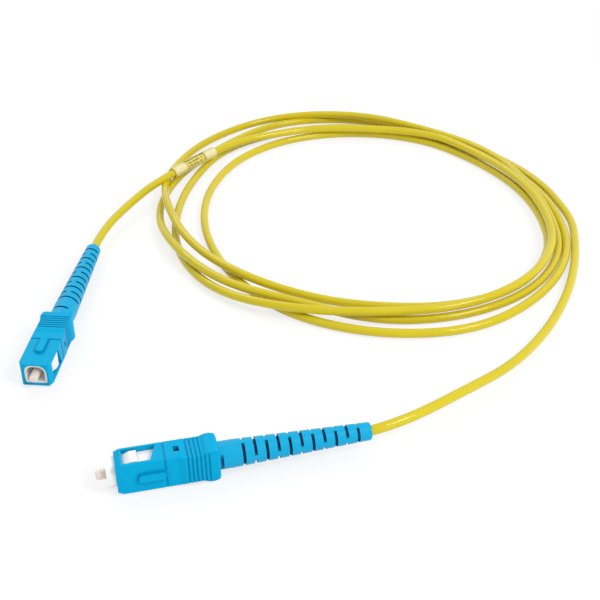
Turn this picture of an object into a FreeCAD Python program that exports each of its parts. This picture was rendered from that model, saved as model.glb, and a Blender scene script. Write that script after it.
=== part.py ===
import FreeCAD
import Part

import math
import os

# A simplex fibre patch cable: two square push-pull plugs joined by a loosely coiled round cable.
# Lengths are millimetres and angles are degrees. +Z is up and z = 0 is the table that it lies on.
# A plug is drawn in its own frame: x runs from the front face of the plug frame back to the cable,
# z points out of the key face and y runs across the two window faces.

# Cable
cable_diameter = 2.8
core_bore = 1.2
core_bore_depth = 7.5

# Outer housing
housing_length = 25.8
housing_width = 9.0
housing_height = 7.4
grip_width = 8.4
grip_height = 8.2
grip_start = 17.0
grip_ramp = 1.4
corner_bevel = 0.28
nose_length = 1.4
nose_side_inset = 0.6
nose_face_inset = 0.12
nose_ring = 1.9
window_length = 8.5
window_key_length = 6.8
window_height = 5.6
key_start = 5.4
key_width = 2.2
key_corner = 0.5
key_rise = 0.8
groove_start = 12.0
groove_width = 0.5
groove_depth = 0.18
peep_hole_start = 14.7
peep_hole_length = 1.4
peep_hole_height = 2.0
rib_count = 6
rib_first = 17.65
rib_pitch = 1.05
rib_gap = 0.42
rib_depth = 0.22
hump_from_rear = 0.2
hump_length = 3.8
hump_rise = 0.55
tail_chamfer = 0.4

# How far the housing slides on the plug frame
housing_forward = -0.5
housing_back = 2.3

# Plug frame
frame_length = 16.9
frame_width = 6.4
frame_height = 6.1
frame_top_radius = 2.3
frame_bottom_radius = 0.4
frame_wall = 0.65
frame_socket_depth = 5.3
frame_partition = 1.0
latch_width = 4.4
latch_rise = 1.0
latch_root = 0.58
latch_ramp = 1.6
latch_clearance = 0.3
snap_length = 1.4
snap_width = 2.4
snap_from_rear = 2.6

# Ferrule and what carries it
ferrule_radius = 1.2495
ferrule_length = 10.5
ferrule_reach = 2.6
ferrule_chamfer = 0.35
ferrule_seat_radius = 1.0
ferrule_seat_lead = 0.4
flange_diameter = 4.4
flange_thickness = 2.0
flange_notch = 0.8
flange_notch_depth = 0.5
flange_tail_diameter = 2.1
flange_tail_length = 5.0
buffer_diameter = 0.9
plunge = 2.0
spring_wire = 0.46
spring_turns = 3
spring_sides = 4

# Stop ring, crimp sleeve
stop_front = 12.4
stop_collar_diameter = 5.9
stop_collar_length = 1.3
barrel_diameter = 4.0
barrel_length = 7.5
barrel_bore = 2.9
crimp_wall = 0.45
crimp_rear_length = 5.6

# Boot, with its stations measured from its own front end
boot_length = 43.7
boot_base_diameter = 7.2
boot_tip_diameter = 4.8
boot_base_length = 7.5
boot_lip_length = 1.5
boot_overlap = 1.0
boot_mark_station = 4.0
boot_mark_depth = 0.8
slot_count = 11
slot_first = 9.7
slot_pitch = 3.0
slot_width = 0.75
slot_web = 1.5
slot_skin = 0.12
slot_floor_sides = 8

# Label on the rear lead
label_length = 10.0
label_thickness = 0.2
sleeve_length = 21.5
sleeve_wall = 0.45

# Clearances
slide_clearance = 0.1
running_clearance = 0.08
seat_clearance = 0.03
boot_clearance = 0.12
tail_clearance = 0.4

# Where the two plugs lie. The front plug lies on a window face with its key towards the viewer,
# rolled back a little and resting on its nose and a hump. The rear plug lies flat with its key up.
front_place = (-18.14, -52.92)
front_yaw = 13.0
front_pitch = 0.69
front_roll = 87.5
rear_place = (-44.19, -11.92)
rear_yaw = 85.5
rear_pitch = 0.0
rear_roll = 0.0

# Route of each lead, chosen by hand, from the boot's tip to the coil
lead_exit_run = 9.0
front_lead_points = [
    (75.6, -19.3, 4.4),
    (90.6, -5.7, 2.4),
    (103.7, 11.8, 1.5),
    (113.5, 30.1, 1.5),
    (120.5, 49.2, 1.5),
    (124.9, 69.3, 1.5),
]
rear_exit_run = 14.0
rear_lead_points = [
    (-31.4, 87.6, 4.7),
    (-22.8, 103.1, 5.2),
    (2.4, 135.4, 5.2),
    (22.4, 147.3, 4.6),
    (42.1, 152.7, 1.6),
]
label_run = 3

# The loose coil: its innermost and outermost turns, as reaches from its centre
coil_centre = (54.1, 84.0)
coil_outer_reach = [73.5, 71, 71.5, 77.5, 89, 93.5, 88, 80.5, 75, 72, 72, 70.5, 72, 75, 75, 76]
coil_inner_reach = [60, 59, 61, 66.5, 68, 68, 65.5, 61, 58, 58, 60, 57, 58, 61.5, 63.5, 62.5]
coil_margin = 0.2

# Share of a run that the arc at its end takes
arc_share = 0.45

# Sizes that follow from those above
housing_travel = housing_back - housing_forward
tail_bore_length = boot_overlap + housing_travel + tail_clearance
boot_front = housing_length + housing_forward - boot_overlap
boot_tip = boot_front + boot_length
barrel_end = frame_length + stop_collar_length + barrel_length
cable_radius = cable_diameter / 2
vector = FreeCAD.Vector


def box(x0, x1, y0, y1, z0, z1):
    """A box between two corners."""
    return Part.makeBox(x1 - x0, y1 - y0, z1 - z0, vector(x0, y0, z0))


def rod(diameter, x0, x1):
    """A round bar along the plug's axis."""
    return Part.makeCylinder(diameter / 2, x1 - x0, vector(x0, 0, 0), vector(1, 0, 0))


def turned(profile):
    """A solid turned about the plug's axis from (x, radius) corners."""
    corners = [vector(x, 0, r) for x, r in profile]
    face = Part.Face(Part.makePolygon(corners + corners[:1]))
    return face.revolve(vector(0, 0, 0), vector(1, 0, 0), 360)


def rounded_outline(x, width, height, top_radius, bottom_radius):
    """A rectangle with round corners across the plug's axis; top is the key side."""
    half_w = width / 2
    half_h = height / 2
    corners = [
        (half_w, half_h, top_radius, 0),
        (-half_w, half_h, top_radius, 90),
        (-half_w, -half_h, bottom_radius, 180),
        (half_w, -half_h, bottom_radius, 270),
    ]
    arcs = []
    for y, z, radius, start in corners:
        middle = vector(x, y - math.copysign(radius, y), z - math.copysign(radius, z))
        arc_points = []
        for turn in (0, 45, 90):
            angle = math.radians(start + turn)
            spoke = vector(0, radius * math.cos(angle), radius * math.sin(angle))
            arc_points.append(middle + spoke)
        arcs.append(arc_points)
    edges = []
    for index, arc_points in enumerate(arcs):
        following = arcs[(index + 1) % len(arcs)]
        edges.append(Part.Arc(*arc_points).toShape())
        edges.append(Part.LineSegment(arc_points[-1], following[0]).toShape())
    return Part.Wire(edges)


def bar(x0, x1, width, height, top_radius, bottom_radius):
    """A straight bar of that outline."""
    outline = rounded_outline(x0, width, height, top_radius, bottom_radius)
    return Part.Face(outline).extrude(vector(x1 - x0, 0, 0))


def bevelled_outline(x, width, height):
    """A rectangle with bevelled corners across the plug's axis."""
    corners = []
    for side_y, side_z, first_y in ((1, 1, 0), (-1, 1, 1), (-1, -1, 0), (1, -1, 1)):
        for bevel_y in (first_y, 1 - first_y):
            y = side_y * (width / 2 - corner_bevel * bevel_y)
            z = side_z * (height / 2 - corner_bevel * (1 - bevel_y))
            corners.append(vector(x, y, z))
    return Part.makePolygon(corners + corners[:1])


def tapered_bar(x0, size0, x1, size1):
    """A bevelled bar whose width and height change evenly from one end to the other."""
    return Part.makeLoft([bevelled_outline(x0, *size0), bevelled_outline(x1, *size1)], True, True)


def groove_round(x0, length, width, height, depth):
    """The material to take away for a groove round a bar of that size."""
    outside = box(x0, x0 + length, -width, width, -height, height)
    inside = box(
        x0,
        x0 + length,
        depth - width / 2,
        width / 2 - depth,
        depth - height / 2,
        height / 2 - depth,
    )
    return outside.cut(inside)


def outer_housing():
    """The push-pull shell, drawn with its front edge at x = 0."""
    front = (housing_width, housing_height)
    nose = (housing_width - 2 * nose_side_inset, housing_height - 2 * nose_face_inset)
    tail = (grip_width - 2 * tail_chamfer, grip_height - 2 * tail_chamfer)
    grip = (grip_width, grip_height)
    ramp_start = grip_start - grip_ramp
    tail_start = housing_length - tail_chamfer
    shell = tapered_bar(0, nose, nose_length, front)
    shell = shell.fuse(tapered_bar(nose_length, front, ramp_start, front))
    shell = shell.fuse(tapered_bar(ramp_start, front, grip_start, grip))
    shell = shell.fuse(tapered_bar(grip_start, grip, tail_start, grip))
    shell = shell.fuse(tapered_bar(tail_start, grip, housing_length, tail))

    # The key stands on the front half of one wide face and runs back to the groove
    key_foot = housing_height / 2 - corner_bevel
    key_half = key_width / 2
    key_corners = [
        (groove_start, key_half),
        (groove_start, -key_half),
        (key_start + key_corner, -key_half),
        (key_start, key_corner - key_half),
        (key_start, key_half - key_corner),
        (key_start + key_corner, key_half),
        (groove_start, key_half),
    ]
    key_outline = Part.makePolygon([vector(x, y, key_foot) for x, y in key_corners])
    key = Part.Face(key_outline).extrude(vector(0, 0, corner_bevel + key_rise))
    shell = shell.fuse(key)

    # Finger grooves round the grip, and one groove round the middle with a bridge at the key
    for index in range(rib_count):
        start = rib_first + index * rib_pitch
        shell = shell.cut(groove_round(start, rib_gap, *grip, rib_depth))
    middle_groove = groove_round(groove_start, groove_width, *front, groove_depth)
    bridge = box(
        groove_start,
        groove_start + groove_width,
        -key_half,
        key_half,
        0,
        grip_height,
    )
    shell = shell.cut(middle_groove.cut(bridge))

    # A round finger hump on each window face, near the rear end
    hump_height = grip_height - 2 * corner_bevel
    hump_end = housing_length - hump_from_rear
    hump_radius = (hump_length ** 2 / 4 + hump_rise ** 2) / (2 * hump_rise)
    hump_middle = hump_end - hump_length / 2
    for side in (1, -1):
        centre_y = side * (grip_width / 2 + hump_rise - hump_radius)
        hump = Part.makeCylinder(
            hump_radius, hump_height, vector(hump_middle, centre_y, -hump_height / 2)
        )
        hump_box = box(
            hump_end - hump_length, hump_end, -housing_width, housing_width, -grip_height, grip_height
        )
        shell = shell.fuse(hump.common(hump_box))

    # The room inside: the frame's own section, a round waist, and the bore that the boot runs in
    frame_room_end = frame_length - housing_forward + latch_clearance
    frame_room = bar(
        -1,
        frame_room_end,
        frame_width + 2 * slide_clearance,
        frame_height + 2 * slide_clearance,
        frame_top_radius + slide_clearance,
        frame_bottom_radius,
    )
    waist = rod(frame_height + 2 * slide_clearance, frame_room_end - 1, housing_length)
    boot_room_start = housing_length - tail_bore_length
    boot_room = rod(boot_base_diameter + 2 * boot_clearance, boot_room_start, housing_length + 1)
    for room in (frame_room, waist, boot_room):
        shell = shell.cut(room)

    # Latch windows, with a slanted rear edge, and the small holes behind them
    window_half = window_height / 2
    window_corners = [
        (nose_ring, -window_half),
        (nose_ring + window_length, -window_half),
        (nose_ring + window_key_length, window_half),
        (nose_ring, window_half),
        (nose_ring, -window_half),
    ]
    window_outline = Part.makePolygon([vector(x, -housing_width, z) for x, z in window_corners])
    shell = shell.cut(Part.Face(window_outline).extrude(vector(0, 2 * housing_width, 0)))
    hole_half = peep_hole_height / 2
    shell = shell.cut(
        box(
            peep_hole_start,
            peep_hole_start + peep_hole_length,
            -housing_width,
            housing_width,
            -hole_half,
            hole_half,
        )
    )
    return shell.removeSplitter()


def plug_frame():
    """The white inner body: a round-topped socket in front and the spring room behind."""
    frame = bar(0, frame_length, frame_width, frame_height, frame_top_radius, frame_bottom_radius)
    socket = bar(
        -1,
        frame_socket_depth,
        frame_width - 2 * frame_wall,
        frame_height - 2 * frame_wall,
        frame_top_radius - frame_wall / 2,
        frame_bottom_radius,
    )
    frame = frame.cut(socket)
    spring_room = frame_socket_depth + frame_partition
    frame = frame.cut(rod(2 * (ferrule_radius + running_clearance), 0, spring_room))
    frame = frame.cut(rod(flange_diameter + 2 * running_clearance, spring_room, frame_length + 1))

    # Latch ramps on the window faces: they stop the housing at both ends of its slide
    latch_front = housing_back + nose_ring + latch_clearance
    latch_rear = housing_forward + nose_ring + window_key_length - latch_clearance
    face_y = frame_width / 2
    ramp = Part.makePolygon(
        [
            vector(latch_front, face_y - latch_root, -latch_width / 2),
            vector(latch_front, face_y + latch_rise / 4, -latch_width / 2),
            vector(latch_front + latch_ramp, face_y + latch_rise, -latch_width / 2),
            vector(latch_rear, face_y + latch_rise, -latch_width / 2),
            vector(latch_rear, face_y - latch_root, -latch_width / 2),
            vector(latch_front, face_y - latch_root, -latch_width / 2),
        ]
    )
    latch = Part.Face(ramp).extrude(vector(0, 0, latch_width))
    frame = frame.fuse(latch)
    frame = frame.fuse(latch.mirror(vector(0, 0, 0), vector(0, 1, 0)))

    # Snap windows that hold the stop ring
    snap_start = frame_length - snap_from_rear
    frame = frame.cut(
        box(
            snap_start,
            snap_start + snap_length,
            -snap_width / 2,
            snap_width / 2,
            -frame_height,
            frame_height,
        )
    )
    return frame.removeSplitter()


def ferrule():
    """The polished ceramic pin that holds the fibre."""
    tip = -ferrule_reach
    rear = tip + ferrule_length
    seat = frame_socket_depth - ferrule_seat_lead
    return turned(
        [
            (tip, 0),
            (tip, ferrule_radius - ferrule_chamfer),
            (tip + ferrule_chamfer, ferrule_radius),
            (seat, ferrule_radius),
            (seat, ferrule_seat_radius),
            (rear, ferrule_seat_radius),
            (rear, 0),
        ]
    )


def flange_seat():
    """Where the flange's head rests on the frame's partition."""
    return frame_socket_depth + frame_partition + seat_clearance


def ferrule_flange():
    """The metal collar pressed on the ferrule, with a tail that guides the spring."""
    head_start = flange_seat()
    head_end = head_start + flange_thickness
    tail_end = head_end + flange_tail_length
    flange = rod(flange_diameter, head_start, head_end)
    for angle in (0, 90, 180, 270):
        notch = box(
            head_start,
            head_end,
            -flange_notch / 2,
            flange_notch / 2,
            flange_diameter / 2 - flange_notch_depth,
            flange_diameter,
        )
        notch.rotate(vector(0, 0, 0), vector(1, 0, 0), angle)
        flange = flange.cut(notch)
    flange = flange.fuse(rod(flange_tail_diameter, head_end, tail_end))
    ferrule_end = ferrule_length - ferrule_reach + seat_clearance
    flange = flange.cut(rod(2 * (ferrule_seat_radius + seat_clearance), head_start, ferrule_end))
    flange = flange.cut(rod(buffer_diameter + 2 * seat_clearance, ferrule_end, tail_end))
    return flange.removeSplitter()


def cable_end():
    """Where the cable's jacket is cut, inside the crimp sleeve."""
    return barrel_end + running_clearance


def buffered_fibre():
    """The coated fibre from the ferrule back into the cable's end."""
    start = ferrule_length - ferrule_reach + 2 * seat_clearance
    end = cable_end() + core_bore_depth - plunge - 1
    return rod(buffer_diameter, start, end)


def spring():
    """The coil spring between the flange's head and the stop ring."""
    start = flange_seat() + flange_thickness + spring_wire / 2 + seat_clearance
    end = stop_front - spring_wire / 2 - seat_clearance
    mean_radius = (flange_tail_diameter + flange_diameter) / 4
    helix = Part.makeHelix((end - start) / spring_turns, end - start, mean_radius)
    corners = []
    for side in range(spring_sides + 1):
        angle = 2 * math.pi * side / spring_sides
        reach = spring_wire / 2
        corners.append(
            vector(mean_radius + reach * math.cos(angle), 0, reach * math.sin(angle))
        )
    coil = Part.Wire(helix.Edges).makePipeShell([Part.makePolygon(corners)], True, True)
    coil.rotate(vector(0, 0, 0), vector(0, 1, 0), 90)
    coil.translate(vector(start, 0, 0))
    return coil


def stop_ring():
    """The back body: a plug that snaps in the frame, a collar and a barrel for the crimp."""
    bore = barrel_bore / 2
    neck = flange_diameter / 2
    collar_end = frame_length + stop_collar_length
    profile = [
        (stop_front, bore),
        (stop_front, neck),
        (frame_length + seat_clearance, neck),
        (frame_length + seat_clearance, stop_collar_diameter / 2),
        (collar_end, stop_collar_diameter / 2),
        (collar_end, barrel_diameter / 2),
        (barrel_end, barrel_diameter / 2),
        (barrel_end, bore),
    ]
    ring = turned(profile)
    snap_start = frame_length - snap_from_rear + slide_clearance
    snap_end = snap_start + snap_length - 2 * slide_clearance
    snap_half = snap_width / 2 - slide_clearance
    snap_top = frame_height / 2 - slide_clearance
    for low, high in ((neck - frame_wall / 4, snap_top), (-snap_top, frame_wall / 4 - neck)):
        ring = ring.fuse(box(snap_start, snap_end, -snap_half, snap_half, low, high))
    return ring.removeSplitter()


def crimp_sleeve():
    """The metal sleeve that clamps the yarn on the barrel and the jacket behind it."""
    front = frame_length + stop_collar_length + seat_clearance
    step = cable_end() - running_clearance / 2
    rear = step + crimp_rear_length
    barrel = barrel_diameter / 2 + seat_clearance
    jacket = cable_radius + seat_clearance
    return turned(
        [
            (front, barrel),
            (front, barrel + crimp_wall),
            (step + crimp_wall, barrel + crimp_wall),
            (step + 2 * crimp_wall, jacket + crimp_wall),
            (rear, jacket + crimp_wall),
            (rear, jacket),
            (step, jacket),
            (step, barrel),
        ]
    )


def prism(across_flats, sides, x0, x1):
    """A bar along the plug's axis with flat sides."""
    reach = across_flats / 2 / math.cos(math.pi / sides)
    corners = []
    for side in range(sides + 1):
        angle = 2 * math.pi * (side + 0.5) / sides
        corners.append(vector(x0, reach * math.cos(angle), reach * math.sin(angle)))
    return Part.Face(Part.makePolygon(corners)).extrude(vector(x1 - x0, 0, 0))


def boot():
    """The bend-limiting boot: a tapered tube cut by staggered pairs of slots."""
    base = boot_base_diameter / 2
    tip = boot_tip_diameter / 2
    shell = turned(
        [
            (boot_front, 0),
            (boot_front, base),
            (boot_front + boot_base_length, base),
            (boot_tip - boot_lip_length, tip),
            (boot_tip - boot_lip_length / 3, tip),
            (boot_tip, tip - boot_lip_length / 6),
            (boot_tip, 0),
        ]
    )

    # Room for the crimp sleeve, then a bore for the cable
    step = cable_end()
    barrel = barrel_diameter / 2 + crimp_wall + boot_clearance
    sleeve = cable_radius + crimp_wall + boot_clearance
    shell = shell.cut(rod(2 * barrel, min(boot_front, step) - 1, step + 3 * crimp_wall))
    shell = shell.cut(rod(2 * sleeve, step, step + crimp_rear_length + boot_clearance))
    shell = shell.cut(rod(cable_diameter + 2 * running_clearance, step, boot_tip + 1))

    # Slots come in opposite pairs that leave two webs, turned a quarter from one station to the next
    core = cable_diameter + 2 * running_clearance + 2 * slot_skin
    for index in range(slot_count):
        start = boot_front + slot_first + index * slot_pitch
        end = start + slot_width
        ring = prism(4 * base, 4, start, end).cut(prism(core, slot_floor_sides, start, end))
        pair = ring.cut(box(start, end, -3 * base, 3 * base, -slot_web / 2, slot_web / 2))
        pair.rotate(vector(0, 0, 0), vector(1, 0, 0), 90 * (index % 2))
        shell = shell.cut(pair)

    # One short slot marks the key side of the base
    mark = boot_front + boot_mark_station
    shell = shell.cut(box(mark, mark + slot_width, -base, base, base - boot_mark_depth, base))
    return shell.removeSplitter()


def axis_of(yaw, pitch):
    """The direction of a plug's x axis as it lies."""
    turn = math.radians(yaw)
    rise = math.radians(pitch)
    return vector(math.cos(turn) * math.cos(rise), math.sin(turn) * math.cos(rise), math.sin(rise))


def placed(shape, where, height, yaw, pitch, roll):
    """Moves a plug's piece from the plug's frame to where the plug lies."""
    moved = shape.copy()
    moved.rotate(vector(0, 0, 0), vector(1, 0, 0), roll)
    moved.rotate(vector(0, 0, 0), vector(0, 1, 0), -pitch)
    moved.rotate(vector(0, 0, 0), vector(0, 0, 1), yaw)
    moved.translate(vector(where[0], where[1], height))
    return moved


def rest_height(shape, pitch, roll):
    """How high the plug's axis starts when that piece touches the table."""
    return -placed(shape, (0, 0), 0, 0, pitch, roll).optimalBoundingBox(False, False).ZMin


def shifted(shape, distance):
    """A copy moved along the plug's axis."""
    moved = shape.copy()
    moved.translate(vector(distance, 0, 0))
    return moved


def cord_path(points, tail):
    """Straight runs joined by tangent arcs, with a straight tail before the first point."""
    edges = []
    radii = []
    start = points[0] - tail
    for before, corner, after in zip(points, points[1:], points[2:]):
        arriving = corner - before
        leaving = after - corner
        turn = arriving.getAngle(leaving)
        cut_back = arc_share * min(arriving.Length, leaving.Length)
        radius = cut_back / math.tan(turn / 2)
        arriving.normalize()
        leaving.normalize()
        arc_start = corner - arriving * cut_back
        arc_end = corner + leaving * cut_back
        towards_centre = (leaving - arriving).normalize()
        sagitta = radius / math.cos(turn / 2) - radius
        middle = corner + towards_centre * sagitta
        edges.append(Part.LineSegment(start, arc_start).toShape())
        edges.append(Part.Arc(arc_start, middle, arc_end).toShape())
        radii.append(radius)
        start = arc_end
    edges.append(Part.LineSegment(start, points[-1]).toShape())
    return Part.Wire(edges), radii


def cable_lead(name, points, axis):
    """A length of cable from inside its boot out along its route."""
    inside = boot_tip - cable_end()
    path, radii = cord_path(points, axis * inside)
    first = points[0] - axis * inside
    section = Part.Wire(Part.makeCircle(cable_radius, first, axis))
    tube = path.makePipe(Part.Face(section))
    expected = math.pi * cable_radius ** 2 * path.Length
    print(name, "length", round(path.Length, 1), "radii", [round(r) for r in radii])
    print(name, "volume over section times length", round(tube.Volume / expected, 4))
    bore = Part.makeCylinder(core_bore / 2, core_bore_depth, first, axis)
    return tube.cut(bore)


def closed_outline(reaches, margin):
    """A closed line round the coil through one corner for each reach, with tangent arcs."""
    count = len(reaches)
    corners = []
    for index, reach in enumerate(reaches):
        angle = 2 * math.pi * index / count
        distance = reach + margin
        x = coil_centre[0] + distance * math.cos(angle)
        y = coil_centre[1] + distance * math.sin(angle)
        corners.append(vector(x, y, 0))
    arcs = []
    for index, corner in enumerate(corners):
        before = corners[index - 1]
        after = corners[(index + 1) % count]
        cut_back = arc_share * min((corner - before).Length, (after - corner).Length)
        arriving = (corner - before).normalize()
        leaving = (after - corner).normalize()
        turn = arriving.getAngle(leaving)
        radius = cut_back / math.tan(turn / 2)
        sagitta = radius / math.cos(turn / 2) - radius
        middle = corner + (leaving - arriving).normalize() * sagitta
        arcs.append((corner - arriving * cut_back, middle, corner + leaving * cut_back))
    edges = []
    for index, arc in enumerate(arcs):
        following = arcs[(index + 1) % count]
        edges.append(Part.Arc(*arc).toShape())
        edges.append(Part.LineSegment(arc[-1], following[0]).toShape())
    return Part.Face(Part.Wire(edges))


def cable_coil():
    """The outer shape of the turns that lie side by side on the table."""
    outside = closed_outline(coil_outer_reach, cable_radius + coil_margin)
    inside = closed_outline(coil_inner_reach, -cable_radius - coil_margin)
    return outside.cut(inside).extrude(vector(0, 0, cable_diameter + coil_margin))


def sleeve_on(start, end, length, inner, outer):
    """A tube of that length at the middle of a straight run."""
    direction = (end - start).normalize()
    first = (start + end) * 0.5 - direction * (length / 2)
    outside = Part.makeCylinder(outer, length, first, direction)
    return outside.cut(Part.makeCylinder(inner, length, first, direction))


plug_pieces = {
    "plug_frame": plug_frame(),
    "ferrule": ferrule(),
    "ferrule_flange": ferrule_flange(),
    "buffered_fibre": buffered_fibre(),
    "ferrule_spring": spring(),
    "stop_ring": stop_ring(),
    "crimp_sleeve": crimp_sleeve(),
    "boot": boot(),
}
housing = outer_housing()

# The front plug's housing is pulled back and the rear plug's is pushed forward
front_housing = shifted(housing, housing_back)
rear_housing = shifted(housing, housing_forward)
front_height = rest_height(front_housing, front_pitch, front_roll)
rear_height = rest_height(rear_housing, rear_pitch, rear_roll)
front_lie = (front_place, front_height, front_yaw, front_pitch, front_roll)
rear_lie = (rear_place, rear_height, rear_yaw, rear_pitch, rear_roll)
parts = {}
for end, lie, shell in (("front", front_lie, front_housing), ("rear", rear_lie, rear_housing)):
    parts[end + "_outer_housing"] = placed(shell, *lie)
    for name, shape in plug_pieces.items():
        parts[end + "_" + name] = placed(shape, *lie)

front_axis = axis_of(front_yaw, front_pitch)
front_exit = vector(*front_place, front_height) + front_axis * boot_tip
front_route = [front_exit, front_exit + front_axis * lead_exit_run]
front_route += [vector(*point) for point in front_lead_points]
parts["cable_lead_front"] = cable_lead("cable_lead_front", front_route, front_axis)

rear_axis = axis_of(rear_yaw, rear_pitch)
rear_exit = vector(*rear_place, rear_height) + rear_axis * boot_tip
rear_route = [rear_exit, rear_exit + rear_axis * rear_exit_run]
rear_route += [vector(*point) for point in rear_lead_points]
parts["cable_lead_rear"] = cable_lead("cable_lead_rear", rear_route, rear_axis)

parts["cable_coil"] = cable_coil()

label_inner = cable_radius + seat_clearance
sleeve_inner = label_inner + label_thickness + seat_clearance
label_ends = rear_route[label_run], rear_route[label_run + 1]
parts["label_wrap"] = sleeve_on(*label_ends, label_length, label_inner, label_inner + label_thickness)
parts["label_sleeve"] = sleeve_on(*label_ends, sleeve_length, sleeve_inner, sleeve_inner + sleeve_wall)

os.makedirs("parts", exist_ok=True)
for name, shape in parts.items():
    shape.exportStep(os.path.join("parts", name + ".step"))
    if len(shape.Solids) != 1 or not shape.isValid():
        print("check", name, "solids", len(shape.Solids), "valid", shape.isValid())

plug_box = FreeCAD.BoundBox()
for name, shape in parts.items():
    if name.startswith(("front_", "rear_")):
        plug_box.add(shape.BoundBox)
print("plug axes start at", round(front_height, 4), round(rear_height, 4))
print("plugs reach", [round(v, 3) for v in (plug_box.XMin, plug_box.XMax)],
      [round(v, 3) for v in (plug_box.YMin, plug_box.YMax)],
      [round(v, 3) for v in (plug_box.ZMin, plug_box.ZMax)])
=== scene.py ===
# %% [markdown]
# # A fibre patch cable on a white table
#
# A patch cable carries light from one network socket to another. This one has two square blue plugs,
# and the thin yellow cable between them lies in a loose coil. The rigid pieces come from a CAD frame,
# where they already have their real size and place. Here they get their finishes, and the soft
# pieces, which are the cable and the label on it, are made as flexible things.

# %% Load the frame
import math

import bmesh
import bpy
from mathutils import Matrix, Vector


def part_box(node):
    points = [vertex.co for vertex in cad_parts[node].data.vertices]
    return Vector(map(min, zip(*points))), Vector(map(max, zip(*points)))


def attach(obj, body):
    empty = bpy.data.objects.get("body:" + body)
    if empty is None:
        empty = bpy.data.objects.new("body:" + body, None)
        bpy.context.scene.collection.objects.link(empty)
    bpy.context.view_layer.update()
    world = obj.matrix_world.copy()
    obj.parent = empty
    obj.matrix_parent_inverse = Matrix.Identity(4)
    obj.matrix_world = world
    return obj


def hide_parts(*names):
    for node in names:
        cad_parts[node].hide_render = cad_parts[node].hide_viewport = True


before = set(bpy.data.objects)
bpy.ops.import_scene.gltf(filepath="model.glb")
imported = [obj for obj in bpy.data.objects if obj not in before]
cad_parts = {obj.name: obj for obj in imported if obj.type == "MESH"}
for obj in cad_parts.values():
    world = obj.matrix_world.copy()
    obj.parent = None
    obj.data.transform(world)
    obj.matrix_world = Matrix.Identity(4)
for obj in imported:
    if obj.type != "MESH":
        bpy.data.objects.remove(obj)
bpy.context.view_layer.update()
millimetre = 0.001
print("nodes in the frame:", len(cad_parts))

# %% [markdown]
# ## The camera
#
# The cable is seen from close by and from a little above, so near things look clearly larger than far
# ones. A long lens from further away could frame the same view, but it would flatten it. So the
# camera stands where the known size of the two plugs puts it, and its height, tilt and lens give the
# perspective together.


# %% Camera
def new_object(name, data):
    """An object that holds that data, linked into the scene."""
    made = bpy.data.objects.new(name, data)
    bpy.context.scene.collection.objects.link(made)
    return made


camera_place = Vector((29.9, -248.45, 186.8)) * millimetre
camera_tilt = math.radians(33.7)
camera_lens = 63.84
camera_sensor = 36.0
nearest_seen = 10 * millimetre

camera_data = bpy.data.cameras.new("camera")
camera_data.lens = camera_lens
camera_data.sensor_width = camera_sensor
camera_data.clip_start = nearest_seen
camera = new_object("camera", camera_data)
camera.location = camera_place
camera.rotation_euler = (math.pi / 2 - camera_tilt, 0, 0)
bpy.context.scene.camera = camera
print("camera height in mm:", round(camera_place.z / millimetre, 1))

# %% [markdown]
# ## The two leads
#
# A lead is the stretch of cable between a plug's boot and the coil. A simulation could drop the cable
# on the table, but it would fall as it likes. So the leads are a few points, given in millimetres:
# straight out of the boot, which holds the cable stiffly, and then in long bends. The rear lead lies
# on the coil's other turns before it comes to its boot.

# %% Points of the two leads
on_table = 1.5
# From the front face of a plug to the end of its boot
boot_tip = 68.0
front_straight = 9.0
front_rise = Vector((0, 0, 1.2))
rear_straight = 13.0


def plug_axis(yaw, pitch):
    """The direction from a plug's front to its boot."""
    turn = math.radians(yaw)
    rise = math.radians(pitch)
    return Vector((math.cos(turn) * math.cos(rise), math.sin(turn) * math.cos(rise), math.sin(rise)))


front_face = Vector((-18.14, -52.92, 4.6))
front_axis = plug_axis(yaw=13.0, pitch=0.69)
front_exit = front_face + front_axis * boot_tip
rear_face = Vector((-44.19, -11.92, 4.1))
rear_axis = plug_axis(yaw=85.5, pitch=0.0)
rear_exit = rear_face + rear_axis * boot_tip

front_lead = [
    front_exit,
    front_exit + front_axis * front_straight + front_rise,
    (75.6, -19.3, 4.4),
    (90.6, -5.7, 2.4),
    (103.7, 11.8, on_table),
    (113.5, 30.1, on_table),
    (120.5, 49.2, on_table),
    (124.9, 69.3, on_table),
]
rear_lead = [
    (42.1, 151.8, 4.7),
    (22.4, 146.4, 4.7),
    (2.4, 135.4, 5.4),
    (-22.4, 102.4, 5.7),
    (-30.8, 86.9, 4.7),
    rear_exit + rear_axis * rear_straight,
    rear_exit,
]
print("the front lead leaves its boot at", [round(v, 1) for v in front_exit])

# %% [markdown]
# ## The coil
#
# Between the leads the cable goes round four and a quarter times. One spiral formula could give that,
# but its turns would lie as evenly as thread on a reel, and these are loose and cross each other. So
# a loop walks round the coil's middle in sixteen stations a turn, and every station has a reach of
# its own. Stations where the cable passes over another turn, or comes down from it, also have a
# height.

# %% Points of the coil
coil_centre = Vector((54.1, 84.0, 0))
stations = 16
over = 4.9
# The spline cuts each corner of its points, so the points lie a little further out than the cable does.
spline_pull = 0.981

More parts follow.
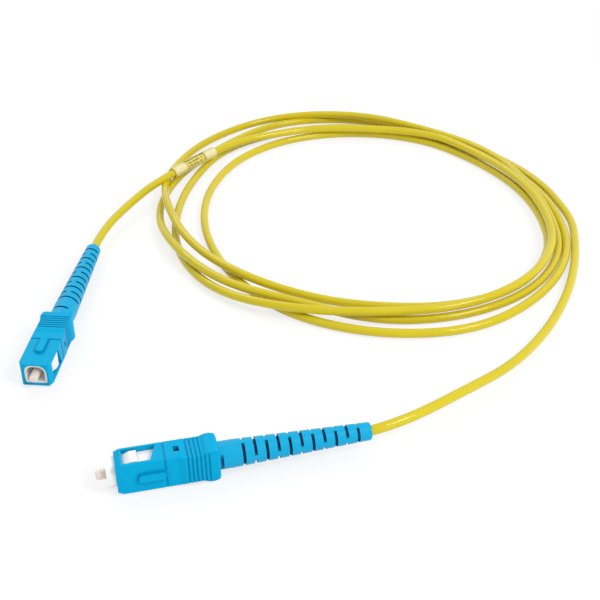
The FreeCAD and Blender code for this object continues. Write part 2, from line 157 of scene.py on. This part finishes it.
turn_reaches = [
    [70.6, 70.0, 70.2, 73.7, 81.6, 85.2, 77.9, 75.9, 74.4, 70.7, 68.6, 63.9, 65.3, 67.8, 69.2, 67.8],
    [64.4, 63.3, 66.2, 69.2, 78.2, 88.5, 87.2, 80.0, 70.8, 65.3, 61.6, 56.4, 57.6, 62.0, 65.2, 64.3],
    [60.7, 60.0, 61.2, 66.6, 68.5, 68.8, 65.8, 60.8, 58.0, 58.0, 61.6, 67.9, 72.2, 75.5, 72.9, 70.5],
    [67.2, 66.3, 66.4, 70.3, 74.2, 76.3, 75.7, 69.1, 67.5, 69.7, 71.4, 68.7, 65.4, 67.3, 67.5, 65.4],
    [61.2, 60.5, 61.6, 67.3],
]
turn_heights = [
    {9: over, 10: over, 11: 4.5},
    {1: 4.0, 2: over, 3: over, 4: 5.4, 5: 2.8, 8: 7.0, 9: over, 10: over},
    {},
    {10: 2.5, 11: over, 12: over, 13: over, 14: over, 15: over},
    {0: over, 1: over, 2: over, 3: over},
]

coil = []
for reaches, heights in zip(turn_reaches, turn_heights):
    for station, reach in enumerate(reaches):
        angle = 2 * math.pi * station / stations
        spoke = Vector((math.cos(angle), math.sin(angle), 0)) * (reach / spline_pull)
        coil.append(coil_centre + spoke + Vector((0, 0, heights.get(station, on_table))))
route = [Vector(point) * millimetre for point in front_lead + coil + rear_lead]
print("points on the cable's route:", len(route))

# %% [markdown]
# ## The cable
#
# The real cable is a round plastic jacket over yarn and one glass fibre, in one piece from plug to
# plug. A tube of rings could be swept along the route, but a curve with a round bevel is shorter and
# smooth in every bend. Its NURBS spline only leans towards its points, as springy cable does. The
# order and the end points are set after the points are there, or the spline would stay a row of
# straight pieces.

# %% Cable spline
cable_radius = 1.4 * millimetre
steps_between_points = 10
bevel_steps = 6


def route_curve(name, solid):
    """A curve object along the cable's route: round and thick, or only a line."""
    data = bpy.data.curves.new(name, "CURVE")
    data.dimensions = "3D"
    data.resolution_u = steps_between_points
    # A depth of one leaves the thickness to the radius of each point.
    data.bevel_depth = 1.0 if solid else 0.0
    data.bevel_resolution = bevel_steps
    data.use_fill_caps = solid
    spline = data.splines.new("NURBS")
    spline.points.add(len(route) - 1)
    for place, point in zip(route, spline.points):
        point.co = (*place, 1)
        point.radius = cable_radius
    spline.order_u = 3
    spline.use_endpoint_u = True
    return new_object(name, data)


cable = route_curve("cable", True)
print("cable thickness in mm:", round(2 * cable_radius / millimetre, 2))

# %% [markdown]
# ## The cable's own line
#
# The label has to sit on the cable, so the line that the cable really takes is needed, and so is its
# length. The spline's formula could be worked out again in Python. Blender has done that already: a
# curve with no thickness turns into a mesh whose vertices lie along the line.

# %% Where the cable's line runs
guide = route_curve("guide", False)
bpy.context.view_layer.update()
line_mesh = bpy.data.meshes.new_from_object(guide)
line = [vertex.co.copy() for vertex in line_mesh.vertices]
bpy.data.meshes.remove(line_mesh)
bpy.data.objects.remove(guide)
distances = [0.0]
for before, after in zip(line, line[1:]):
    distances.append(distances[-1] + (after - before).length)
print("cable length in m:", round(distances[-1], 3))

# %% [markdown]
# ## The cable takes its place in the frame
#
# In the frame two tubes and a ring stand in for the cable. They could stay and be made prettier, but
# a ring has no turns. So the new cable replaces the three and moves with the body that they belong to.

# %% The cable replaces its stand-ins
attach(cable, "cable")
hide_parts("cable_lead_front", "cable_coil", "cable_lead_rear")
print("the cable stands for its two leads and its coil, with", len(cable.data.splines), "spline")

# %% [markdown]
# ## Tubes that follow the cable
#
# Near the rear plug a clear sleeve is slid over the cable, and it holds a small label. Straight
# cylinders would stand off the bent cable at their ends. So both are tubes of rings, each ring round
# a point of the cable's own line and square to it. A flat map, which is Blender's UV map, keeps how
# far along and how far round each corner lies, so that a finish can find its way on the tube.


# %% A place on the cable
def line_at(distance):
    """The place on the cable's line at that distance from the front plug."""
    for index in range(1, len(line)):
        if distances[index] >= distance:
            share = (distance - distances[index - 1]) / (distances[index] - distances[index - 1])
            return line[index - 1].lerp(line[index], share)
    return line[-1].copy()


low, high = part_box("label_sleeve")
label_centre = (low + high) / 2
nearest = min(range(len(line)), key=lambda index: (line[index] - label_centre).length)
label_middle = distances[nearest]
print("the label's middle is", round(label_middle, 3), "m along the cable")

# %% A ring round the cable
tangent_step = 0.5 * millimetre


def ring_places(distance, radius, sides):
    """Places round the cable, in a circle square to it."""
    centre = line_at(distance)
    ahead = line_at(distance + tangent_step)
    behind = line_at(distance - tangent_step)
    along = (ahead - behind).normalized()
    side = along.cross(Vector((0, 0, 1))).normalized()
    up = side.cross(along)
    places = []
    for step in range(sides):
        angle = 2 * math.pi * step / sides
        spoke = side * math.cos(angle) + up * math.sin(angle)
        places.append(centre + spoke * radius)
    return places


print("a ring of four round the label's middle:")
for place in ring_places(label_middle, cable_radius, 4):
    print([round(v / millimetre, 1) for v in place])


# %% The wall of a tube
def tube_profile(length, mouth, inner, outer, steps):
    """Rings for a tube with a wall: along the outside, in to its mouth and back along the inside."""
    half = length / 2
    lip = (outer - inner) / 3
    outside = [(-half + lip, outer)]
    for step in range(1, steps):
        outside.append((-half + length * step / steps, outer))
    outside.append((half - lip, outer))
    rim = [(half, outer - lip), (half, mouth)]
    inside = [(-offset, inner) for offset, _ in outside]
    far_rim = [(-half, mouth), (-half, outer - lip)]
    return outside + rim + inside + far_rim


label_inner = cable_radius + 0.03 * millimetre
label_outer = cable_radius + 0.23 * millimetre
sleeve_inner = cable_radius + 0.26 * millimetre
sleeve_outer = cable_radius + 0.7 * millimetre
label_profile = tube_profile(
    length=10 * millimetre, mouth=label_inner, inner=label_inner, outer=label_outer, steps=14
)
sleeve_profile = tube_profile(
    length=23 * millimetre, mouth=label_inner, inner=sleeve_inner, outer=sleeve_outer, steps=20
)
print("rings in the label and in the sleeve:", len(label_profile), len(sleeve_profile))

# %% Label and sleeve
tube_sides = 40


def tube_along(name, middle, profile):
    """A closed tube round the cable from (distance from its middle, radius) pairs.

    Its flat map has millimetres from the middle along the tube and turns round it.
    """
    mesh = bmesh.new()
    flat_map = mesh.loops.layers.uv.new("flat map")
    rings = []
    for offset, radius in profile:
        places = ring_places(middle + offset, radius, tube_sides)
        rings.append([mesh.verts.new(place) for place in places])
    offsets = [offset / millimetre for offset, _ in profile]
    for index, ring in enumerate(rings):
        near, far = offsets[index], offsets[(index + 1) % len(rings)]
        following = rings[(index + 1) % len(rings)]
        for step in range(tube_sides):
            after = (step + 1) % tube_sides
            face = mesh.faces.new((ring[step], ring[after], following[after], following[step]))
            low_turn, high_turn = step / tube_sides, (step + 1) / tube_sides
            corners = ((near, low_turn), (near, high_turn), (far, high_turn), (far, low_turn))
            for loop, corner in zip(face.loops, corners):
                loop[flat_map].uv = corner
    bmesh.ops.recalc_face_normals(mesh, faces=mesh.faces)
    for face in mesh.faces:
        face.smooth = True
    data = bpy.data.meshes.new(name)
    mesh.to_mesh(data)
    mesh.free()
    return new_object(name, data)


label = tube_along("label", label_middle, label_profile)
sleeve = tube_along("sleeve", label_middle, sleeve_profile)
print("faces of the label and the sleeve:", len(label.data.polygons), len(sleeve.data.polygons))

# %% [markdown]
# ## A cord with two things on it
#
# On the real object the label and the sleeve go where the cable goes. They could be joined to it, but
# they have finishes of their own. So they stay separate pieces, each in place of its CAD stand-in,
# and move with the cable's body.

# %% Label and sleeve go with the cable
for piece, node, slot in ((label, "label_wrap", "label_film"), (sleeve, "label_sleeve", "clear_sleeve")):
    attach(piece, "cable")
    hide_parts(node)
print("a cord of", round(distances[-1], 2), "m with its label and its sleeve")

# %% [markdown]
# ## Shader maths in Python
#
# A finish says how a surface takes light, and in Blender it is a small graph of nodes. The nodes
# could be wired one by one, but then the sum that they stand for is hard to read. So one class wraps
# an output of a node, and Python's own operators on it add the Math nodes. Every other node comes
# from one method.


# %% A wire between nodes
class Wire:
    """An output of a node. Operators on it add Math nodes to the same tree."""

    def __init__(self, tree, socket=None):
        self.tree = tree
        self.socket = socket

    def node(self, kind, settings=None, inputs=None, output=0):
        """Adds a node: its settings first, then a value or a wire for each socket."""
        made = self.tree.nodes.new(kind)
        for name, value in (settings or {}).items():
            setattr(made, name, value)
        for name, value in (inputs or {}).items():
            if isinstance(value, Wire):
                self.tree.links.new(value.socket, made.inputs[name])
            else:
                made.inputs[name].default_value = value
        return Wire(self.tree, made.outputs[output])

    def math(self, operation, first, second=0.0):
        """Adds a Math node with that operation."""
        return self.node("ShaderNodeMath", {"operation": operation}, {0: first, 1: second})

    def __add__(self, other):
        return self.math("ADD", self, other)

    def __sub__(self, other):
        return self.math("SUBTRACT", self, other)

    def __mul__(self, other):
        return self.math("MULTIPLY", self, other)

    def __rsub__(self, other):
        return self.math("SUBTRACT", other, self)

    __radd__ = __add__
    __rmul__ = __mul__


print("Wire:", Wire.__doc__)

# %% Helpers for a finish
noise_middle = 0.5


def new_finish(name, **constants):
    """A material with its fixed values set, the wire of its tree and a way to feed its shader."""
    material = bpy.data.materials.new(name)
    material.use_nodes = True
    tree = material.node_tree
    shader = tree.nodes["Principled BSDF"]
    for socket, value in constants.items():
        shader.inputs[socket.replace("_", " ")].default_value = value

    def feed(socket, wire):
        tree.links.new(wire.socket, shader.inputs[socket])

    return material, Wire(tree), feed


def noise(graph, size, detail=2.0):
    """Soft random blotches of about that size in metres, from 0 to 1."""
    place = graph.node("ShaderNodeTexCoord", output="Object")
    return graph.node("ShaderNodeTexNoise", None, {"Vector": place, "Scale": 1 / size, "Detail": detail})


def tint(graph, amount, first, second):
    """The first colour at an amount of 0 and the second at 1. Each is a colour or a wire."""
    ends = [end if isinstance(end, Wire) else (*end, 1) for end in (first, second)]
    inputs = {"Factor": amount, "A": ends[0], "B": ends[1]}
    return graph.node("ShaderNodeMix", {"data_type": "RGBA"}, inputs, output=2)


print("helpers:", ", ".join(helper.__name__ for helper in (new_finish, noise, tint)))

# %% [markdown]
# ## Moulded plastic
#
# The housings are hard moulded plastic with a fine grain from the mould, and the boots are a softer
# plastic with a little more sheen. The frames inside are smooth and white. One flat colour would look
# like paper, so each finish drifts a little in colour, has shade painted into its colour deep in its
# slots and corners, and has a grain in its roughness and its bumps. Real edges are never sharp: a
# bevelled normal softens them without touching the CAD shape.

# %% Moulded plastic
blotch_size = 6 * millimetre
# Shade is painted into slots and corners within this reach.
slot_reach = 1.2 * millimetre
slot_samples = 8
edge_samples = 6
speck_detail = 3.0
speck_roughness = 0.12
speck_strength = 0.08
speck_height = 0.02 * millimetre


def openness(graph, reach):
    """Ambient occlusion, 1 on open faces and falling towards 0 deep in a slot or a corner within that
    reach; it says where shade is painted.
    """
    settings = {"samples": slot_samples, "only_local": True}
    return graph.node("ShaderNodeAmbientOcclusion", settings, {"Distance": reach}, output="AO")


def moulded(name, painted_slot_shade, dark, light, roughness, gloss, grain, edge):
    """A moulded plastic with faint colour changes, shade painted into its slots, a fine grain and soft
    edges.
    """
    material, graph, feed = new_finish(name, Specular_IOR_Level=gloss)
    blotch = noise(graph, blotch_size)
    speck = noise(graph, grain, speck_detail)
    clear = openness(graph, slot_reach)
    # Painted shade: deep in slots and corners the colour turns to the shade colour painted there.
    feed("Base Color", tint(graph, clear * clear, painted_slot_shade, tint(graph, blotch, dark, light)))
    feed("Roughness", roughness + (speck - noise_middle) * speck_roughness)
    soft_edge = graph.node("ShaderNodeBevel", {"samples": edge_samples}, {"Radius": edge})
    bumps = {"Strength": speck_strength, "Distance": speck_height, "Height": speck, "Normal": soft_edge}
    feed("Normal", graph.node("ShaderNodeBump", None, bumps))
    return material


housing_finish = moulded(
    "blue housing",
    # the first colour is shade painted into slots and corners
    painted_slot_shade=(0.0, 0.26, 0.51),
    dark=(0.0, 0.38, 0.665),
    light=(0.001, 0.41, 0.71),
    roughness=0.38,
    gloss=0.05,
    grain=0.15 * millimetre,
    edge=0.12 * millimetre,
)
print("made", housing_finish.name, "with", len(housing_finish.node_tree.nodes), "nodes")

# %% Boots and plug frames
boot_finish = moulded(
    "blue boot",
    # the first colour is shade painted into slots and corners
    painted_slot_shade=(0.0, 0.07, 0.20),
    dark=(0.0, 0.37, 0.65),
    light=(0.002, 0.40, 0.70),
    roughness=0.38,
    gloss=0.18,
    grain=0.12 * millimetre,
    edge=0.1 * millimetre,
)
frame_finish = moulded(
    "white plug frame",
    # the first colour is shade painted into slots and corners
    painted_slot_shade=(0.72, 0.68, 0.63),
    dark=(0.87, 0.87, 0.855),
    light=(0.92, 0.92, 0.91),
    roughness=0.34,
    gloss=0.4,
    grain=0.2 * millimetre,
    edge=0.1 * millimetre,
)
print("more moulded finishes:", boot_finish.name, "and", frame_finish.name)

# %% [markdown]
# ## The ferrule
#
# The ferrule is the small white pin that holds the end of the fibre. It is ceramic, polished like
# porcelain. A low roughness alone would shine evenly, so a clear coat lies over a slightly cloudy,
# softer white: the coat gives the sharp highlight and the ceramic under it gives the colour.

# %% Ferrule
cloud_size = 1.5 * millimetre
ferrule_shade = (0.77, 0.66, 0.58)
ferrule_white = (0.85, 0.75, 0.67)
ferrule_roughness = 0.16
cloud_roughness = 0.08

ferrule_finish, graph, feed = new_finish("ceramic ferrule", Coat_Weight=0.4, Coat_Roughness=0.05)
cloud = noise(graph, cloud_size)
feed("Base Color", tint(graph, cloud, ferrule_shade, ferrule_white))
feed("Roughness", ferrule_roughness + cloud * cloud_roughness)
print("made", ferrule_finish.name)

# %% [markdown]
# ## Metal and fibre inside the plug
#
# Behind the ferrule are a plated flange, a steel spring, a stop ring, a crimped sleeve and the coated
# fibre. They are hardly seen, so carved tool marks would be wasted on them. A fine grain in colour
# and roughness is enough for turned metal, and the fibre's coating is one more moulded plastic.

# %% Metals and the fibre's coating
metal_grain = 0.3 * millimetre
metal_detail = 4.0
metal_roughness = 0.15


def turned_metal(name, dark, light, roughness):
    """Turned metal with a fine grain in its colour and roughness."""
    material, graph, feed = new_finish(name, Metallic=1.0)
    mark = noise(graph, metal_grain, metal_detail)
    feed("Base Color", tint(graph, mark, dark, light))
    feed("Roughness", roughness + mark * metal_roughness)
    return material


plated_finish = turned_metal("plated brass", (0.62, 0.59, 0.52), (0.74, 0.71, 0.64), roughness=0.22)
spring_finish = turned_metal("spring steel", (0.45, 0.45, 0.46), (0.6, 0.6, 0.61), roughness=0.25)
crimp_finish = turned_metal("crimp metal", (0.6, 0.6, 0.61), (0.72, 0.72, 0.73), roughness=0.3)
fibre_finish = moulded(
    "fibre coating",
    # the first colour is shade painted into slots and corners
    painted_slot_shade=(0.5, 0.5, 0.47),
    dark=(0.82, 0.82, 0.78),
    light=(0.88, 0.88, 0.85),
    roughness=0.4,
    gloss=0.4,
    grain=0.1 * millimetre,
    edge=0.05 * millimetre,
)
inner_finishes = (plated_finish, spring_finish, crimp_finish, fibre_finish)
print("inside the plug:", ", ".join(finish.name for finish in inner_finishes))

# %% [markdown]
# ## The yellow jacket
#
# The jacket is plastic pressed through a round die, so it is smooth with a thin glossy skin. A
# stronger shine on the plastic itself would wash its yellow out. So the plastic stays deep and nearly
# matt, and a clear coat gives the narrow highlight. A faint waviness, which such a jacket really has,
# breaks up that long line of light.

# %% Jacket
deep_yellow = (0.60, 0.488, 0.003)
bright_yellow = (0.69, 0.563, 0.006)
drift_size = 18 * millimetre
ripple_size = 7 * millimetre
ripple_height = 0.1 * millimetre
ripple_strength = 0.1
ripple_roughness = 0.08
jacket_roughness = 0.18

jacket_finish, graph, feed = new_finish(
    "yellow jacket", Specular_IOR_Level=0.12, Coat_Weight=0.5, Coat_Roughness=0.06
)
drift = noise(graph, drift_size)
ripple = noise(graph, ripple_size)
feed("Base Color", tint(graph, drift, deep_yellow, bright_yellow))
feed("Roughness", jacket_roughness + (ripple - noise_middle) * ripple_roughness)
waves = {"Strength": ripple_strength, "Distance": ripple_height, "Height": ripple}
feed("Normal", graph.node("ShaderNodeBump", None, waves))
print("made", jacket_finish.name)

# %% [markdown]
# ## The label's film
#
# The label is a thin film round the jacket, with rows of plain dark dashes. A painted picture could
# carry them, but the flat map is enough: it is cut into rows, and in each row a noise along the label
# decides where a dash starts and stops. A margin at both ends stays bare.


# %% Label film
def flat_place(graph):
    """Millimetres along a tube from its middle, and turns round it."""
    flat = graph.node("ShaderNodeTexCoord", output="UV")
    along = graph.node("ShaderNodeSeparateXYZ", None, {"Vector": flat}, output="X")
    turns = graph.node("ShaderNodeSeparateXYZ", None, {"Vector": flat}, output="Y")
    return along, turns


row_count = 9.0
row_fill = 0.5
row_shift = 7.3
dash_rate = 0.9
dash_level = 0.45
dash_detail = 1.0
inked_half = 4.4
ink_weight = 0.85
ink = (0.13, 0.1, 0.012)
film_deep = (0.70, 0.58, 0.04)
film_pale = (0.78, 0.68, 0.12)
film_size = 2 * millimetre
film_roughness = 0.4
film_change = 0.1

label_finish, graph, feed = new_finish("label film", Specular_IOR_Level=0.3)
along, turns = flat_place(graph)
rows = turns * row_count
row = graph.math("FLOOR", rows)
across = graph.math("FRACT", rows)
spot = graph.node("ShaderNodeCombineXYZ", None, {"X": along * dash_rate, "Y": row * row_shift, "Z": 0.0})
dash = graph.node("ShaderNodeTexNoise", None, {"Vector": spot, "Scale": 1.0, "Detail": dash_detail})
inked = graph.math("GREATER_THAN", dash, dash_level) * graph.math("LESS_THAN", across, row_fill)
inside = graph.math("LESS_THAN", graph.math("ABSOLUTE", along), inked_half)
film = noise(graph, film_size)
bare = tint(graph, film, film_deep, film_pale)
feed("Base Color", tint(graph, inked * inside * ink_weight, bare, ink))
feed("Roughness", film_roughness + film * film_change)
print("rows of dashes round the label:", int(row_count))

# %% [markdown]
# ## The clear sleeve
#
# The sleeve is a clear tube. Glass would be the obvious way, but the sleeve is so thin that only
# three things show: it is milky at its ends, it is clear where it lies tight on the label, and its
# flanks take on the jacket's yellow. So its alpha and its colour say just that, by place on the flat
# map. The milky colour lies on the side that faces the front: it is partly the tube's own haze and
# partly a painted sheen, where light reflects off the tube.

# %% Clear sleeve
clear_within = 5.0
milky_beyond = 6.0
clear_alpha = 0.05
milky_alpha = 0.72
# The turn that faces the front, where the pale haze and the painted sheen go.
facing_turn = 0.38
flank_start = 0.1
flank_full = 0.19
haze_size = 3 * millimetre
# Pale colours, partly the sleeve's own haze and partly painted sheen.
haze_and_sheen_deep = (0.95, 0.88, 0.46)
haze_and_sheen_pale = (0.98, 0.93, 0.58)
flank_yellow = (0.78, 0.65, 0.03)

sleeve_finish, graph, feed = new_finish("clear sleeve", Roughness=0.15, Specular_IOR_Level=0.35)
along, turns = flat_place(graph)
from_label = graph.math("ABSOLUTE", along)
loose_range = {"From Min": clear_within, "From Max": milky_beyond}
loose_alpha = {"To Min": clear_alpha, "To Max": milky_alpha}
loose = graph.node("ShaderNodeMapRange", None, {"Value": from_label, **loose_range, **loose_alpha})
from_front = graph.math("ABSOLUTE", turns - facing_turn)
flank_range = {"From Min": flank_start, "From Max": flank_full, "To Min": 0.0, "To Max": 1.0}
flank = graph.node("ShaderNodeMapRange", None, {"Value": from_front, **flank_range})
haze = noise(graph, haze_size)
# Painted sheen: the side facing the front is pale, partly from the tube's haze and partly as light
# reflecting off it.
haze_and_sheen = tint(graph, haze, haze_and_sheen_deep, haze_and_sheen_pale)
feed("Base Color", tint(graph, flank, haze_and_sheen, flank_yellow))
feed("Alpha", graph.math("MAXIMUM", loose, flank))
print("made", sleeve_finish.name, "with", len(sleeve_finish.node_tree.nodes), "nodes")

# %% [markdown]
# ## Every piece gets its finish
#
# Both plugs are made of the same nine pieces. Each could be given its material by hand, but a table
# from piece to finish serves both ends, and the plain materials that came with the frame are cleared
# first.

# %% Give every piece its finish
node_finishes = {
    "outer_housing": housing_finish,
    "boot": boot_finish,
    "plug_frame": frame_finish,
    "ferrule": ferrule_finish,
    "ferrule_flange": plated_finish,
    "stop_ring": plated_finish,
    "ferrule_spring": spring_finish,
    "crimp_sleeve": crimp_finish,
    "buffered_fibre": fibre_finish,
}
plug_ends = ("front", "rear")
for end in plug_ends:
    for piece_name, finish in node_finishes.items():
        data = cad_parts[end + "_" + piece_name].data
        data.materials.clear()
        data.materials.append(finish)
soft_finishes = ((cable, jacket_finish), (label, label_finish), (sleeve, sleeve_finish))
for piece, finish in soft_finishes:
    piece.data.materials.append(finish)
print("pieces with a finish:", len(plug_ends) * len(node_finishes) + len(soft_finishes))

# %% [markdown]
# ## The white table
#
# The cable lies on plain white. More light would make any table white, but it would bleach the yellow
# too. So rays that come straight from the camera, from a mirror or through a clear piece see mostly
# an even white, and all others see a matt table. The part of the matt table that is left in the mix
# keeps a soft shadow.

# %% Table
table_size = 12.0
table_mesh = bmesh.new()
bmesh.ops.create_grid(table_mesh, x_segments=1, y_segments=1, size=table_size / 2)
table_data = bpy.data.meshes.new("table")
table_mesh.to_mesh(table_data)
table_mesh.free()
table = new_object("table", table_data)
print("table size in m:", table_size)


# %% White finish of the table
def seen_directly(graph):
    """1 where a ray comes from the camera, a mirror or a clear piece, and 0 otherwise."""
    from_camera = graph.node("ShaderNodeLightPath", output="Is Camera Ray")
    from_mirror = graph.node("ShaderNodeLightPath", output="Is Glossy Ray")
    through_clear = graph.node("ShaderNodeLightPath", output="Is Transmission Ray")
    return graph.math("MINIMUM", from_camera + from_mirror + through_clear, 1.0)


table_colour = (0.88, 0.88, 0.88, 1)
white = (1, 1, 1, 1)
white_level = 1.04
shadow_share = 0.3

table_finish = bpy.data.materials.new("white table")
table_finish.use_nodes = True
table_nodes = table_finish.node_tree.nodes
table_nodes.remove(table_nodes["Principled BSDF"])
graph = Wire(table_finish.node_tree)
matt = graph.node("ShaderNodeBsdfDiffuse", None, {"Color": table_colour})
even_white = graph.node("ShaderNodeEmission", None, {"Color": white, "Strength": white_level})
white_share = seen_directly(graph) * (1 - shadow_share)
surface = graph.node("ShaderNodeMixShader", None, {0: white_share, 1: matt, 2: even_white})
table_finish.node_tree.links.new(surface.socket, table_nodes["Material Output"].inputs["Surface"])
table_data.materials.append(table_finish)
print("share of the matt table that the camera sees:", shadow_share)

# %% [markdown]
# ## Light
#
# A thing like this is pictured in soft studio light. The world could give that alone, but then round
# things look flat. So the world is held below white, and three lamps shape the pieces: a large soft
# one from the right, another from behind, and a small low one at the front for the glints along the
# boots.

# %% World
sky_level = 0.72
world = bpy.data.worlds.new("studio")
world.use_nodes = True
bpy.context.scene.world = world
graph = Wire(world.node_tree)
strength = sky_level + seen_directly(graph) * (1 - sky_level)
background = world.node_tree.nodes["Background"]
background.inputs["Color"].default_value = white
world.node_tree.links.new(strength.socket, background.inputs["Strength"])
bpy.context.scene.view_settings.view_transform = "Standard"
print("the world lights the pieces at", sky_level)

# %% Lamps
scene_middle = Vector((0.03, 0.05, 0))


def soft_lamp(name, place, size, power):
    """A square lamp that faces the middle of the scene."""
    data = bpy.data.lights.new(name, "AREA")
    data.size = size
    data.energy = power
    lamp = new_object(name, data)
    lamp.location = place
    lamp.rotation_euler = (scene_middle - Vector(place)).to_track_quat("-Z", "Y").to_euler()


soft_lamp("key lamp", place=(0.5, -0.24, 0.6), size=0.3, power=2.8)
soft_lamp("back lamp", place=(-0.3, 0.6, 0.7), size=0.4, power=1.4)
soft_lamp("front lamp", place=(0.6, -0.7, 0.12), size=0.14, power=0.4)
print("lamps:", len(bpy.data.lights))

# %% [markdown]
# ## Sizes and the end
#
# A finish or a soft piece must not make the object bigger than its CAD model.
